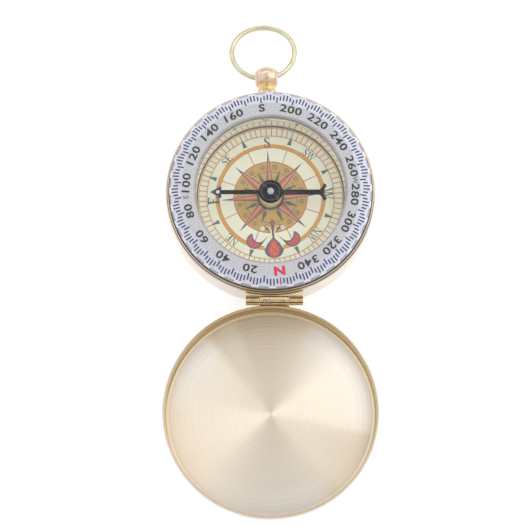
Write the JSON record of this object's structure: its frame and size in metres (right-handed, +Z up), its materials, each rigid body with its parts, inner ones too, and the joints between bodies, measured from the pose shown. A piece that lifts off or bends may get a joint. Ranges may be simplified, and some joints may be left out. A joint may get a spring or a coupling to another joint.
{
  "type": "pocket compass",
  "caption": "Round brass pocket compass with a hinged lid, a rotating graduated bezel, a pivoted needle over a printed dial and a bow ring on a ball pendant.",
  "frame": {"origin": "centre of the case's flat underside", "axes": "+Z up out of the dial, +Y towards the pendant and bow, -Y towards the hinge and the opened lid"},
  "size_m": [0.05, 0.1213, 0.0131],
  "materials": {
    "brass": "lightly brushed inside, polished outside",
    "hinge_brass": "satin, with solder marks",
    "rose_brass": "polished",
    "pale_brass": "polished",
    "steel": "drawn",
    "black_steel": "glossy black",
    "rubber": "matt",
    "clear_plastic": "clear polished",
    "crystal": "clear polished",
    "bezel_plastic": "silver-grey, glossy",
    "dial_print": "printed card, satin",
    "lume": "matt",
    "jewel": "polished"
  },
  "bodies": {
    "case": {"case_shell": "brass", "base_pad": "rubber", "case_hinge_leaf": "hinge_brass", "hinge_pin": "steel", "pendant_ball": "rose_brass", "pendant_collar": "rose_brass", "pendant_screw": "steel", "capsule_cup": "clear_plastic", "dial_base_plate": "brass", "dial_card": "dial_print", "dial_lume_dot_left": "lume", "dial_lume_dot_right": "lume", "crystal_gasket": "rubber", "crystal": "crystal", "pivot_pillar": "pale_brass", "pivot_pin": "steel", "bezel_spring_washer": "steel", "bezel_snap_ring": "steel"},
    "bezel": {"bezel_ring": "bezel_plastic"},
    "needle": {"needle_hub": "pale_brass", "needle_pointer": "black_steel", "needle_cap": "black_steel", "needle_jewel": "jewel", "needle_tip_lume": "lume"},
    "lid": {"lid_shell": "brass", "lid_hinge_leaf": "hinge_brass"},
    "bow": {"bow_ring": "pale_brass"}
  },
  "joints": [
    {"name": "lid_hinge", "type": "hinge", "parent": "case", "child": "lid", "pos_m": [0.00087, -0.0261, 0.01], "axis": [-1, 0, 0], "range_deg": [0, 180]},
    {"name": "bezel_turn", "type": "hinge", "parent": "case", "child": "bezel", "pos_m": [0, 0, 0.011], "axis": [0, 0, 1], "continuous": true},
    {"name": "needle_swing", "type": "hinge", "parent": "case", "child": "needle", "pos_m": [0, 0, 0.0109], "axis": [0, 0, 1], "continuous": true},
    {"name": "bow_swivel", "type": "hinge", "parent": "case", "child": "bow", "pos_m": [-0.00097, 0.02928, 0.0054], "axis": [0.9945, 0.1027, -0.0226], "range_deg": [-90, 128]}
  ]
}
